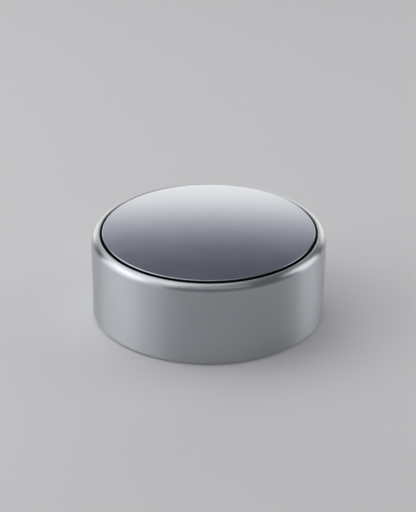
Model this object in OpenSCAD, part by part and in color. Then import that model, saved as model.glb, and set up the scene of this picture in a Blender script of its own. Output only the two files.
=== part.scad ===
// Smart button: a satin metal puck with one large key that is pressed straight down.
// The origin is the centre of the underside, where the foot ring stands. +Z is up.

/* [Casing] */
// Outer diameter of the casing
casing_d = 45; // [40:0.5:50]
// Height of the casing from its foot to the top of its rim
casing_h = 16.1; // [15.8:0.1:18]
// Thickness of the relieved wall
wall_t = 1.2; // [0.9:0.1:1.4]
// Thickness of the rim, from the outside to the key's opening
rim_t = 1.6; // [1.5:0.1:2]
// Width of the flat land on top of the rim
rim_land = 0.35; // [0.1:0.05:0.5]
// Chamfer on the rim's inner edge, the thin bright line
rim_chamfer = 0.1; // [0.05:0.05:0.2]
// Height of the thick lip under the rim
lip_h = 3.5; // [3:0.5:4.5]
// Width of the inner ledge that is clamped between base and chassis
ledge_w = 1.8; // [1.4:0.1:2]
// Thickness of that ledge
ledge_t = 1; // [0.8:0.1:1.3]
// Chamfer on the casing's foot
foot_break = 0.3; // [0.1:0.1:0.5]

/* [Foot ring] */
// How far the rubber stands below the casing
foot_proud = 0.4; // [0.3:0.1:0.6]
// Thickness of the rubber ring
foot_t = 1.1; // [1:0.1:1.3]
// Width of the rubber ring
foot_w = 3.2; // [3:0.1:3.3]
// Clearance beside the ring in its groove
foot_fit = 0.1; // [0.05:0.05:0.15]

/* [Base] */
// Depth of the base's underside inside the casing's mouth
base_inset = 0.3; // [0.2:0.1:0.4]
// Thickness of the base plate
base_t = 1.7; // [1.5:0.1:1.9]
// Radial clearance of the base in the casing
base_fit = 0.15; // [0.1:0.05:0.25]
// Wall of the bayonet collar outside its track
collar_t = 1.7; // [1.6:0.1:1.9]
// Height of the screw posts above the plate
post_h = 1.9; // [1.7:0.1:2.1]
// Diameter of the screw posts
post_d = 3.4; // [3.2:0.1:3.5]

/* [Battery cover] */
// Thickness of the cover's floor
door_floor_t = 1.7; // [1.6:0.1:1.8]
// Thickness of the cover's flange, which holds the seal
flange_t = 1.5; // [1.4:0.1:1.6]
// Width of the flange outside the cover's wall
flange_w = 1.55; // [1.45:0.05:1.65]
// Thickness of the cover's upright wall
door_wall_t = 0.85; // [0.7:0.05:0.95]
// How far the three lugs stand out
lug_out = 1; // [0.8:0.1:1]
// Height of the lugs
lug_h = 0.9; // [0.7:0.1:1]
// Width of the lugs in degrees
lug_w = 26; // [22:1:30]
// Room beside the lugs in their entries, in degrees
lug_room = 2; // [1:0.5:3]
// Turn from locked to open, in degrees
twist = 35; // [32:1:40]
// Thickness of the base's lip that holds the lugs
bayonet_lip = 0.9; // [0.8:0.1:1]
// Running clearance of the cover, above and below
door_play = 0.1; // [0.05:0.05:0.15]
// Running clearance round the cover
door_fit = 0.15; // [0.1:0.05:0.2]
// Thickness of the sealing ring's section
seal_d = 0.8; // [0.7:0.05:0.85]
// Running clearance of the sealing ring
seal_fit = 0.05; // [0.03:0.01:0.08]
// Width of the coin slot
slot_w = 1.8; // [1.6:0.1:2.4]
// Deepest point of the coin slot
slot_depth = 1; // [0.8:0.1:1.1]
// Radius of the coin that the slot takes
coin_r = 18; // [12:1:20]
// Height of the raised marks for locked and open
mark_h = 0.1; // [0.05:0.05:0.2]
// Width of those marks
mark_w = 0.4; // [0.3:0.05:0.6]
// Direction of the locked mark, in degrees
mark_angle = 270; // [0:15:345]

/* [Coin cell] */
// Room from the cell's side to the outside of the casing; a smaller casing takes a smaller cell
cell_room = 10.25; // [10.15:0.05:10.4]
// Thickness of the cell
cell_h = 5; // [4.8:0.1:5.3]
// Sheet of the cell's can
can_t = 0.3; // [0.2:0.05:0.4]
// Sheet of the cell's cap
cap_sheet = 0.25; // [0.2:0.05:0.3]
// Radius of the can's lower edge
can_edge = 0.8; // [0.6:0.1:1]
// Height of the cap above the can's crimp
cap_step = 0.3; // [0.2:0.05:0.4]
// Width of the crimp and gasket beside the cap
crimp_w = 1.75; // [1.5:0.05:2]
// Radial clearance round the cell
cell_fit = 0.3; // [0.2:0.05:0.4]
// Clearance under and over the cell
cell_gap = 0.2; // [0.1:0.05:0.25]

/* [Chassis] */
// Thickness of the chassis wall
chassis_t = 1.15; // [1:0.05:1.25]
// Radial clearance of the chassis in the rim
chassis_fit = 0.3; // [0.2:0.05:0.35]
// Wall of the cell's well
well_t = 1; // [0.8:0.1:1.1]
// Thickness of the deck over the cell
deck_t = 0.8; // [0.7:0.1:1]
// Radius of the deck's opening for the contact
deck_hole_r = 6.5; // [6.4:0.1:7]
// Width of the upright rim round that opening
deck_rim = 1; // [0.8:0.1:1.2]
// Thickness of ribs
rib_t = 0.8; // [0.6:0.1:1]
// Distance of the board's screws from the board's edge
pcb_screw_in = 2.25; // [2:0.05:2.35]
// Diameter of the board's screw bosses
pcb_boss_d = 3.4; // [3:0.1:3.5]
// Diameter of the base's screw bosses
base_boss_d = 4.2; // [4.1:0.1:4.3]
// Diameter of the spring towers
tower_d = 3.8; // [3.7:0.1:4]

/* [Circuit board] */
// Height of the board above the deck
pcb_lift = 0.6; // [0.5:0.1:0.8]
// Thickness of the board
pcb_t = 0.8; // [0.6:0.1:1]
// Clearance between the board and the key's legs
pcb_clear = 0.85; // [0.7:0.05:1]
// Clearance round the towers in the board's notches
notch_fit = 0.25; // [0.2:0.05:0.3]
// Side of the radio chip
radio_w = 5; // [4:0.5:6]
// Height of the radio chip
radio_h = 0.85; // [0.7:0.05:1]
// Length of the crystal
crystal_l = 3.2; // [2.5:0.1:3.5]
// Width of the crystal
crystal_w = 2.5; // [2:0.1:2.6]
// Height of the crystal
crystal_h = 0.75; // [0.6:0.05:0.9]
// Length of the antenna
antenna_l = 7; // [5:0.5:8]
// Width of the antenna
antenna_w = 2; // [1.6:0.1:2.2]
// Height of the antenna
antenna_h = 0.9; // [0.7:0.05:1]
// Length of the small resistors and capacitors
passive_l = 1; // [0.8:0.1:1]
// Width of the small resistors and capacitors
passive_w = 0.5; // [0.4:0.05:0.6]
// Pitch of the small resistors and capacitors
passive_pitch = 1.4; // [1.2:0.1:1.5]
// Length of the large capacitor
bulk_l = 3.2; // [2:0.1:3.5]
// Length of the status light
led_l = 1.6; // [1.4:0.1:2]
// Height of the status light
led_h = 0.6; // [0.4:0.05:0.8]
// Sheet of both battery contacts
contact_t = 0.2; // [0.15:0.05:0.25]
// Width of the side contact
plus_w = 5; // [4.5:0.5:5.5]
// Width of the leaf contact
minus_w = 4; // [3:0.5:5]

/* [Tact switch] */
// Side of the switch's square body
switch_w = 6; // [5.8:0.1:6.2]
// Height of the switch's plastic body
switch_h = 2.8; // [2.6:0.1:3]
// Thickness of its cover plate
switch_plate_t = 0.3; // [0.2:0.05:0.4]
// Diameter of its stem
stem_d = 3.4; // [3.2:0.1:3.6]
// Height of the stem above the cover plate
stem_proud = 0.8; // [0.65:0.05:1]
// Running clearance of the stem in the cover plate
stem_fit = 0.08; // [0.05:0.01:0.1]
// Floor under the switch's cavity
switch_floor = 0.6; // [0.5:0.05:0.65]
// Thickness of the switch's terminals
lead_t = 0.2; // [0.15:0.01:0.22]
// How far the terminals stand out of the body
lead_l = 1.4; // [1.2:0.1:1.6]

/* [Key] */
// Travel of the key
key_travel = 0.5; // [0.4:0.05:0.6]
// Gap between the key and the rim
key_gap = 0.5; // [0.4:0.05:0.6]
// Height of the key's edge above the rim
key_proud = 0.3; // [0.2:0.1:0.6]
// Rise of the key's broad crown
crown = 0.45; // [0.2:0.05:0.6]
// Radius of the key's edge
key_edge = 0.15; // [0.1:0.05:0.3]
// Thickness of the metal cap at its edge
cap_t = 0.9; // [0.8:0.1:1.1]
// Width of the cap's skirt
skirt_w = 1; // [0.8:0.1:1.1]
// Clearance between the carrier and the skirt
carrier_fit = 0.15; // [0.1:0.05:0.2]
// Thickness of the adhesive
glue_t = 0.15; // [0.1:0.05:0.2]
// Width of the adhesive ring
glue_w = 12; // [8:0.5:14]
// Thickness of the carrier's plate
plate_t = 0.9; // [0.8:0.1:1.1]
// Depth of the ribs under the plate
plate_rib = 0.6; // [0.4:0.1:0.8]
// Diameter of the nub that pushes the stem
nub_d = 2.6; // [2.2:0.1:3]
// Play between the nub and the stem
nub_play = 0.05; // [0.03:0.01:0.08]
// Length of the hooked legs
leg_l = 4.4; // [4.2:0.1:4.6]
// Thickness of the legs
leg_t = 1; // [0.8:0.1:1.1]
// Width of the legs
leg_w = 4.5; // [4:0.1:5]
// How far the hooks reach out
hook_out = 1; // [0.9:0.1:1.1]
// Height of the hooks
hook_h = 1.2; // [1:0.1:1.4]
// Play under the windows' upper edge, where the hooks rest
hook_play = 0.05; // [0.03:0.01:0.1]
// Clearance of the legs between their guides
guide_fit = 0.15; // [0.1:0.05:0.2]

/* [Return springs] */
// Mean radius of the coils
coil_r = 1.05; // [1:0.05:1.1]
// Diameter of the wire
wire_d = 0.3; // [0.25:0.05:0.35]
// Turns, with one closed turn at each end
coil_turns = 5; // [4:1:6]
// Clearance round the spring in its tower
coil_fit = 0.2; // [0.15:0.05:0.25]
// Play at the ends of the spring
coil_play = 0.03; // [0.02:0.01:0.05]
// Height of the spring's seat above the board
seat_h = 0.6; // [0.4:0.1:0.8]

/* [Screws] */
// Shank diameter of the base's screws
base_screw_d = 1.9; // [1.8:0.1:2]
// Shank length of the base's screws
base_screw_l = 5.3; // [5:0.1:5.4]
// Shank diameter of the board's screws
pcb_screw_d = 1.5; // [1.4:0.1:1.6]
// Shank length of the board's screws
pcb_screw_l = 3.6; // [3:0.1:3.8]
// Head diameter of the base's screws
base_head_d = 2.8; // [2.6:0.1:2.9]
// Head diameter of the board's screws
pcb_head_d = 2.6; // [2.4:0.1:2.8]
// Height of all screw heads
head_h = 0.8; // [0.7:0.1:0.9]
// Clearance round shanks and heads
screw_fit = 0.05; // [0.03:0.01:0.1]

/* [Hidden] */
$fn = 96;
// Overlap by which cuts and joined solids pass each other
over = 0.2;

// Angles of the parts that come in threes
leg_angles = [90, 210, 330];
tower_angles = [30, 150, 270];
pcb_screw_angles = [60, 180, 300];
base_screw_angles = [0, 120, 240];
lug_angles = [70, 190, 310];

// Radii, from the outside in
casing_r = casing_d / 2;
rim_round = rim_t - rim_land - rim_chamfer;
rim_r = casing_r - rim_t;
bore_r = casing_r - wall_t;
ledge_r = bore_r - ledge_w;
key_r = rim_r - key_gap;
pocket_r = key_r - skirt_w;
plate_r = pocket_r - carrier_fit;
chassis_r = rim_r - chassis_fit;
chassis_in = chassis_r - chassis_t;
leg_out = plate_r - 0.15;
leg_in = leg_out - leg_t;
hook_r = leg_out + hook_out;
pcb_r = leg_in - pcb_clear;
pcb_screw_r = pcb_r - pcb_screw_in;
tower_r = chassis_in - 0.25 - tower_d / 2;
foot_mid_r = ledge_r - 0.15 - post_d / 2;
groove_in = foot_mid_r - foot_w / 2 - foot_fit;
cell_r = casing_r - cell_room;
well_r = cell_r + cell_fit;
well_out = well_r + well_t;
door_r = well_r + door_wall_t;
lug_r = door_r + lug_out;
flange_r = door_r + flange_w;
flange_bore = flange_r + door_fit;
mark_r = (flange_bore + groove_in) / 2;
door_bore = door_r + door_fit;
track_r = lug_r + door_fit;
collar_r = track_r + collar_t;
seal_groove_r = flange_bore - 2 * seal_fit - seal_d;

// Heights, from the bottom up
casing_z = foot_proud;
rim_z = casing_z + casing_h;
base_z = casing_z + base_inset;
ledge_z = base_z + base_t;
ledge_top = ledge_z + ledge_t;
post_top = ledge_z + post_h;
head_seat = foot_t + screw_fit + head_h + over;
flange_top = base_z + flange_t;
lip_z = flange_top + door_play;
lip_top = lip_z + bayonet_lip;
lug_z = lip_top + door_play;
lug_top = lug_z + lug_h;
door_top = lug_top + over;
collar_top = lug_top + 0.6;
door_floor = base_z + door_floor_t;
cell_z = door_floor + cell_gap;
cell_top = cell_z + cell_h;
deck_z = cell_top + cell_gap;
deck_top = deck_z + deck_t;
deck_mid = deck_z + deck_t / 2;
pcb_z = deck_top + pcb_lift;
pcb_top = pcb_z + pcb_t;
switch_top = pcb_top + switch_h + switch_plate_t;
stem_top = switch_top + stem_proud;
key_z = rim_z + key_proud;
cap_ceiling = key_z - cap_t;
plate_top = cap_ceiling - glue_t;
plate_z = plate_top - plate_t;
leg_z = plate_z - leg_l;
hook_top = leg_z + hook_h;
window_top = hook_top + hook_play;
window_z = leg_z - key_travel - 0.3;
wall_top = plate_z - key_travel - 0.35;
tower_top = plate_z - key_travel - 0.05;
seat_z = pcb_top + seat_h;
spring_z = seat_z + coil_play;
spring_l = plate_z - coil_play - spring_z;

// Points of an arc
function arc(cx, cy, r, a0, a1, n) = [for (i = [0:n]) let (a = a0 + (a1 - a0) * i / n)
    [cx + r * cos(a), cy + r * sin(a)]];

// A ring, or a disc when the inner radius is 0
module ring(r_out, r_in, z0, z1) {
    rotate_extrude() translate([r_in, z0]) square([r_out - r_in, z1 - z0]);
}

// Part of a ring between two angles
module sector(r_out, r_in, z0, z1, a0, a1) {
    rotate([0, 0, a0]) rotate_extrude(angle = a1 - a0)
        translate([r_in, z0]) square([r_out - r_in, z1 - z0]);
}

// Copies of one thing at several angles, at one radius
module around(angles, r = 0) {
    for (a = angles) rotate([0, 0, a]) translate([r, 0, 0]) children();
}

// A radial section, with its points as radius and height, given a width across the radius
module radial(w) {
    rotate([90, 0, 0]) linear_extrude(w, center = true) children();
}

// An upright box between two corners
module block(x0, x1, y0, y1, z0, z1) {
    translate([x0, y0, z0]) cube([x1 - x0, y1 - y0, z1 - z0]);
}

// Casing: turned shell with a flat and rounded rim, a relieved wall and a clamping ledge
module casing() {
    relief_z = rim_z - lip_h;
    color("#a9aeb8") rotate_extrude($fn = 160) polygon(concat(
        [[casing_r - foot_break, casing_z], [casing_r, casing_z + foot_break]],
        arc(casing_r - rim_round, rim_z - rim_round, rim_round, 0, 90, 14),
        [[rim_r + rim_chamfer, rim_z], [rim_r, rim_z - rim_chamfer], [rim_r, relief_z],
         [bore_r, relief_z - (rim_t - wall_t)], [bore_r, ledge_top],
         [ledge_r, ledge_top], [ledge_r, ledge_z], [bore_r, ledge_z], [bore_r, casing_z]]));
}

// Base: moulded plate with the bayonet collar, screw posts, foot groove and the cover's two marks
module base() {
    groove_out = foot_mid_r + foot_w / 2 + foot_fit;
    notch_half = lug_w / 2 + lug_room;
    color("#26272b") difference() {
        union() {
            ring(bore_r - base_fit, door_bore, base_z, ledge_z);
            ring(collar_r, door_bore, lip_z, collar_top);
            around(base_screw_angles, foot_mid_r)
                translate([0, 0, ledge_z - over]) cylinder(d = post_d, h = post_h + over);
            around([mark_angle], mark_r)
                translate([0, 0, base_z - mark_h]) cylinder(d = mark_w, h = mark_h + over, $fn = 32);
            around([mark_angle - twist], mark_r)
                block(-mark_w / 4, mark_w / 4, -mark_w, mark_w, base_z - mark_h, base_z + over);
        }
        ring(flange_bore, 0, base_z - over, lip_z);
        ring(groove_out, groove_in, base_z - over, foot_t);
        for (a = lug_angles) {
            sector(track_r, 0, lip_top, collar_top + over,
                   a - twist - notch_half, a + lug_w / 2 + lug_room / 2);
            sector(track_r, 0, lip_z - over, lip_top + over, a - twist - notch_half, a - twist + notch_half);
        }
        around(base_screw_angles, foot_mid_r) {
            translate([0, 0, base_z]) cylinder(r = base_head_d / 2 + screw_fit, h = head_seat - base_z);
            translate([0, 0, base_z]) cylinder(r = base_screw_d / 2 + 3 * screw_fit, h = post_top);
        }
    }
}

// Foot ring: rubber, flush in its groove, with softened lower edges
module foot_ring() {
    r_in = foot_mid_r - foot_w / 2;
    r_out = foot_mid_r + foot_w / 2;
    soft = 0.25;
    color("#1b1b1d") rotate_extrude() polygon([
        [r_in + soft, 0], [r_out - soft, 0], [r_out, soft],
        [r_out, foot_t], [r_in, foot_t], [r_in, soft]]);
}

// A pan-head screw that points up, with a cross recess in its head
module screw(shank_d, shank_l, head_d) {
    cross_w = head_d / 7;
    cross_l = head_d * 0.55;
    point = shank_d / 4;
    difference() {
        rotate_extrude($fn = 48) polygon([
            [0, -head_h], [head_d / 2 - 0.3, -head_h], [head_d / 2, 0.3 - head_h], [head_d / 2, 0],
            [shank_d / 2, 0], [shank_d / 2, shank_l - point], [shank_d / 2 - point, shank_l],
            [0, shank_l]]);
        for (turn = [0, 90]) rotate([0, 0, turn])
            block(-cross_l / 2, cross_l / 2, -cross_w / 2, cross_w / 2, -head_h - over, -head_h / 2);
    }
}

// Base screws: from below, through the base into the chassis
module base_screws() {
    color("#b9bcc2") around(base_screw_angles, foot_mid_r)
        translate([0, 0, head_seat]) screw(base_screw_d, base_screw_l, base_head_d);
}

// Board screws: from above, through the board into the chassis
module pcb_screws() {
    color("#b9bcc2") around(pcb_screw_angles, pcb_screw_r)
        translate([0, 0, pcb_top]) rotate([180, 0, 0]) screw(pcb_screw_d, pcb_screw_l, pcb_head_d);
}

// A spring tower: a round post with a blind bore, braced to the chassis wall
module tower() {
    translate([0, 0, deck_mid]) cylinder(d = tower_d, h = tower_top - deck_mid);
    block(coil_r + wire_d / 2 + coil_fit + 0.1, chassis_in + 2 * over - tower_r,
          -rib_t / 2, rib_t / 2, deck_mid + 0.1, wall_top - 0.3);
}

// The two guides beside one leg of the key
module guides() {
    side = leg_w / 2 + guide_fit;
    for (y = [-side - rib_t, side])
        block(leg_in - 0.5, chassis_in + 2 * over, y, y + rib_t, deck_mid, wall_top - 0.4);
}

// Chassis: moulded frame with deck, cell well, bosses, towers, guides and hook windows
module chassis() {
    lead = 0.3;
    base_pilot_top = head_seat + base_screw_l + over;
    pcb_boss_z = pcb_top - pcb_screw_l - 0.6;
    slot_half = plus_w / 2 + 0.3;
    window_half = leg_w / 2 + guide_fit - 0.05;
    color("#18191c") difference() {
        union() {
            rotate_extrude() polygon([
                [chassis_in, ledge_top], [chassis_r - lead, ledge_top], [chassis_r, ledge_top + lead],
                [chassis_r, wall_top - lead], [chassis_r - lead, wall_top], [chassis_in, wall_top]]);
            ring(chassis_in + over, deck_hole_r, deck_z, deck_top);
            ring(well_out, well_r, collar_top + over, deck_z + over);
            ring(deck_hole_r + deck_rim, deck_hole_r, deck_top - over, pcb_z);
            around(pcb_screw_angles, pcb_screw_r)
                translate([0, 0, pcb_boss_z]) cylinder(d = pcb_boss_d, h = pcb_z - pcb_boss_z);
            around(base_screw_angles, foot_mid_r)
                translate([0, 0, post_top + 0.1]) cylinder(d = base_boss_d, h = deck_mid - post_top);
            around(tower_angles, tower_r) tower();
            around(leg_angles) guides();
            around(concat(leg_angles, tower_angles))
                block(well_out - over, chassis_in + 2 * over, -rib_t / 2, rib_t / 2,
                      collar_top + 2 * over, deck_z + over);
        }
        ring(collar_r + base_fit, 0, post_top - over, collar_top + 0.1);
        around(leg_angles)
            block(chassis_in - over, chassis_r + over, -window_half, window_half, window_z, window_top);
        around(tower_angles, tower_r)
            translate([0, 0, seat_z]) cylinder(r = coil_r + wire_d / 2 + coil_fit, h = tower_top);
        around(pcb_screw_angles, pcb_screw_r)
            translate([0, 0, pcb_boss_z + 0.4]) cylinder(r = pcb_screw_d / 2 + screw_fit, h = pcb_top);
        around(base_screw_angles, foot_mid_r)
            translate([0, 0, post_top - over])
                cylinder(r = base_screw_d / 2 + screw_fit, h = base_pilot_top - post_top + over);
        around([leg_angles[0]])
            block(cell_r - over, well_r + 0.6, -slot_half, slot_half, collar_top, deck_top + over);
    }
}

// Circuit board: round, notched for the towers and drilled for its screws
module pcb() {
    color("#1f5a3c") translate([0, 0, pcb_z]) linear_extrude(pcb_t) difference() {
        circle(r = pcb_r);
        around(tower_angles, tower_r) circle(r = tower_d / 2 + notch_fit);
        around(tower_angles, tower_r + tower_d / 2) square([tower_d, rib_t + 2 * notch_fit], center = true);
        around(pcb_screw_angles, pcb_screw_r) circle(r = pcb_screw_d / 2 + 3 * screw_fit);
    }
}

// A small part on the board, with its centre, its turn and its size
module chip(x, y, turn, size) {
    translate([x, y, pcb_top + size[2] / 2]) rotate([0, 0, turn]) cube(size, center = true);
}

radio_x = -0.52 * pcb_r;
radio_y = 0.2 * pcb_r;
crystal_y = radio_y - radio_w / 2 - passive_pitch - crystal_w / 2;

// Radio chip: square flat package with a pin-one dimple
module radio_chip() {
    dimple = radio_w / 9;
    color("#222326") difference() {
        chip(radio_x, radio_y, 0, [radio_w, radio_w, radio_h]);
        translate([radio_x - radio_w / 3, radio_y + radio_w / 3, pcb_top + radio_h * 0.9])
            cylinder(d = dimple, h = radio_h);
    }
}

// Crystal: metal-lidded clock part beside the radio
module crystal() {
    lid = 0.88;
    color("#c9c9c4") {
        chip(radio_x, crystal_y, 0, [crystal_l, crystal_w, crystal_h * 0.7]);
        chip(radio_x, crystal_y, 0, [crystal_l * lid, crystal_w * lid, crystal_h]);
    }
}

// Chip antenna: ceramic bar at the board's edge
module chip_antenna() {
    color("#e9e7e0") rotate([0, 0, 238])
        chip(pcb_r - antenna_w * 1.4, 0, 0, [antenna_w, antenna_l, antenna_h]);
}

// Capacitors: one row above the radio, one beside it, two at the crystal and a large one for the cell
module capacitors() {
    small = [passive_l, passive_w, passive_w];
    color("#a58a66") {
        for (i = [-1.5:1.5])
            chip(radio_x + passive_pitch * i, radio_y + radio_w / 2 + passive_pitch, 90, small);
        for (i = [-1:1])
            chip(radio_x + radio_w / 2 + passive_l, radio_y + passive_pitch * i, 0, small);
        for (side = [-1, 1])
            chip(radio_x + side * crystal_l * 0.4, crystal_y - crystal_w / 2 - passive_l, 90, small);
        chip(0.56 * pcb_r, 0.27 * pcb_r, 0, [bulk_l, bulk_l / 2, bulk_l * 0.38]);
    }
}

// Resistors: one row between the switch and the light
module resistors() {
    color("#2c2c30") for (i = [0:4])
        chip(0.46 * pcb_r + passive_pitch * i, -0.19 * pcb_r, 90, [passive_l, passive_w, passive_w * 0.7]);
}

// Status light: small package whose light leaves through the gap round the key
module status_led() {
    color("#f4f1dc") {
        chip(pcb_r - led_l, 0, 90, [led_l, led_l / 2, led_h / 2]);
        chip(pcb_r - led_l, 0, 90, [led_l * 0.63, led_l / 2, led_h]);
    }
}

cavity_r = stem_d * 0.68;
flange_stem_r = cavity_r - 0.25;
cavity_z = pcb_top + switch_floor;
stem_flange_top = pcb_top + switch_h - 0.05;
stem_flange_z = stem_flange_top - switch_h * 0.21;
pip_l = switch_h * 0.14;
dome_h = stem_flange_z - pip_l - 0.05 - cavity_z;

// Switch body: moulded block with the round cavity for dome and stem
module switch_base() {
    chamfer = 0.6;
    half = switch_w / 2;
    color("#1d1d1f") difference() {
        translate([0, 0, pcb_top]) linear_extrude(switch_h) polygon([
            [-half + chamfer, -half], [half - chamfer, -half], [half, -half + chamfer],
            [half, half - chamfer], [half - chamfer, half], [-half + chamfer, half],
            [-half, half - chamfer], [-half, -half + chamfer]]);
        translate([0, 0, cavity_z]) cylinder(r = cavity_r, h = switch_h);
    }
}

// Switch cover: pressed plate with the stem's hole and two folded tabs
module switch_cover() {
    plate_z0 = pcb_top + switch_h;
    half = switch_w / 2;
    tab_half = switch_w / 5;
    fold = half + switch_plate_t;
    color("#cfd2d6") difference() {
        union() {
            block(-half, half, -half * 0.93, half * 0.93, plate_z0, switch_top);
            for (side = [0, 180]) rotate([0, 0, side])
                block(half, fold, -tab_half, tab_half, plate_z0 - switch_h / 2, switch_top);
        }
        translate([0, 0, plate_z0 - over]) cylinder(r = stem_d / 2 + stem_fit, h = switch_plate_t + 2 * over);
    }
}

// Switch terminals: four gull-wing legs
module switch_terminals() {
    root = switch_w / 2 + 0.02;
    foot = pcb_top + 0.02;
    tip = root + lead_l;
    color("#d7d9dc") for (x = [-1, 1], side = [-1, 1]) translate([x * switch_w * 0.375, 0, 0])
        rotate([0, 0, 90 * side]) radial(switch_w / 9) polygon([
            [root, foot + 4 * lead_t], [root + 1.7 * lead_t, foot + 4 * lead_t],
            [root + 2.7 * lead_t, foot + lead_t], [tip, foot + lead_t], [tip, foot],
            [root + 1.9 * lead_t, foot], [root + 0.9 * lead_t, foot + 3 * lead_t],
            [root, foot + 3 * lead_t]]);
}

// Snap dome: thin pressed disc that gives way under the stem
module switch_dome() {
    sheet = 0.08;
    rim = cavity_r - 0.15;
    steps = 8;
    function rise(r) = dome_h * (1 - pow(r / rim, 2));
    color("#d9c9a2") translate([0, 0, cavity_z]) rotate_extrude() polygon(concat(
        [for (i = [0:steps]) [rim * i / steps, max(rise(rim * i / steps), sheet)]],
        [for (i = [steps:-1:0]) [rim * i / steps, max(rise(rim * i / steps) - sheet, 0)]]));
}

// Switch stem: plunger with its holding flange and the pip that meets the dome
module switch_stem() {
    edge = 0.15;
    color("#e6e3da") rotate_extrude() polygon([
        [0, stem_flange_z - pip_l], [stem_d * 0.15, stem_flange_z - pip_l], [stem_d * 0.2, stem_flange_z],
        [flange_stem_r, stem_flange_z], [flange_stem_r, stem_flange_top],
        [stem_d / 2, stem_flange_top], [stem_d / 2, stem_top - edge],
        [stem_d / 2 - edge, stem_top], [0, stem_top]]);
}

// Side contact: sheet strip that springs against the can and is soldered under the board
module contact_plus() {
    x0 = cell_r + 0.05;
    z0 = collar_top + 0.5;
    line = [[x0 + 0.22, z0], [x0, z0 + 0.9], [x0 + 0.12, deck_z], [x0 + 0.12, pcb_z - contact_t]];
    color("#cfb878") rotate([0, 0, leg_angles[0]]) {
        radial(plus_w) polygon(concat(
            line, [for (i = [len(line) - 1:-1:0]) line[i] + [contact_t, 0]]));
        block(x0 + 0.12, x0 + plus_w / 2, -plus_w / 2, plus_w / 2, pcb_z - contact_t, pcb_z);
    }
}

// Leaf contact: plate under the board with two arms that reach down to the cell's cap
module contact_minus() {
    reach = deck_hole_r - 0.3;
    touch = cell_top + 0.03;
    root = minus_w * 0.35;
    toe = minus_w / 4;
    lift = 0.3;
    color("#cfb878") {
        block(-root - contact_t, root + contact_t, -minus_w / 2, minus_w / 2, pcb_z - contact_t, pcb_z);
        for (side = [0, 180]) rotate([0, 0, side]) radial(minus_w) polygon([
            [root, pcb_z], [root + 2 * contact_t, pcb_z], [reach - toe, touch + contact_t],
            [reach, touch + contact_t + lift], [reach, touch + lift], [reach - toe, touch],
            [root, pcb_z - contact_t]]);
    }
}

// Cell can: drawn cup, crimped in over the gasket
module cell_can() {
    crimp_top = cell_top - cap_step;
    crimp_in = cell_r - crimp_w * 0.7;
    edge_in = can_edge - can_t;
    color("#c8cbd0") rotate_extrude() polygon(concat(
        [[0, cell_z]],
        arc(cell_r - can_edge, cell_z + can_edge, can_edge, -90, 0, 8),
        arc(cell_r - 0.6, crimp_top - 0.6, 0.6, 0, 90, 6),
        [[crimp_in, crimp_top], [crimp_in, crimp_top - can_t]],
        arc(cell_r - 0.6, crimp_top - 0.6, 0.6 - can_t, 90, 0, 6),
        arc(cell_r - can_edge, cell_z + can_edge, edge_in, 0, -90, 8),
        [[0, cell_z + can_t]]));
}

// Cell gasket: sealing ring between can and cap
module cell_gasket() {
    gasket_t = 0.25;
    outer = cell_r - can_t - 0.05;
    crimp_z = cell_top - cap_step - can_t - 0.05;
    inner = cell_r - crimp_w;
    color("#3a3c42") rotate_extrude() polygon([
        [outer - 0.6, cell_z + can_t + 0.1], [outer - 0.1, cell_z + can_t + 0.6],
        [outer - 0.1, crimp_z - 0.5], [outer - 0.5, crimp_z], [inner, crimp_z],
        [inner, crimp_z - gasket_t], [outer - 0.1 - gasket_t, crimp_z - gasket_t - 0.4],
        [outer - 0.1 - gasket_t, cell_z + can_t + 0.7]]);
}

cell_cap_r = cell_r - crimp_w - 0.1;
cell_body_r = cell_r - can_t - 0.6;
cell_floor = cell_z + can_t;
cell_shoulder = cell_top - cap_step - can_t - 0.9;

// Cell cap: the negative cap, a drawn cup that opens downward
module cell_cap() {
    edge = 0.25;
    drop = cell_floor + 0.4;
    inner = cell_body_r - cap_sheet;
    color("#d5d7da") rotate_extrude() polygon([
        [0, cell_top], [cell_cap_r - edge, cell_top], [cell_cap_r, cell_top - edge],
        [cell_cap_r, cell_shoulder + 0.2], [cell_body_r, cell_shoulder], [cell_body_r, drop],
        [inner, drop], [inner, cell_shoulder - cap_sheet], [cell_cap_r - cap_sheet, cell_shoulder - 0.05],
        [cell_cap_r - cap_sheet, cell_top - cap_sheet], [0, cell_top - cap_sheet]]);
}

// Cell pellet: the cell's filling, on the floor of the can and under the cap
module cell_pellet() {
    gap = 0.05;
    wide = cell_body_r - cap_sheet - gap;
    narrow = cell_cap_r - cap_sheet - gap;
    color("#4a4642") rotate_extrude() polygon([
        [0, cell_floor], [wide, cell_floor], [wide, cell_shoulder - cap_sheet - gap],
        [narrow, cell_shoulder - cap_sheet], [narrow, cell_top - cap_sheet - gap],
        [0, cell_top - cap_sheet - gap]]);
}

// Height of a coil's wire, in turns from its lower end; one turn at each end is closed
function coil_z(turn, length) =
    let (rise = length - wire_d, closed = wire_d + 0.08, open = (rise - 2 * closed) / (coil_turns - 2))
    turn < 1 ? turn * closed
    : turn > coil_turns - 1 ? rise - (coil_turns - turn) * closed
    : closed + (turn - 1) * open;

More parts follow.
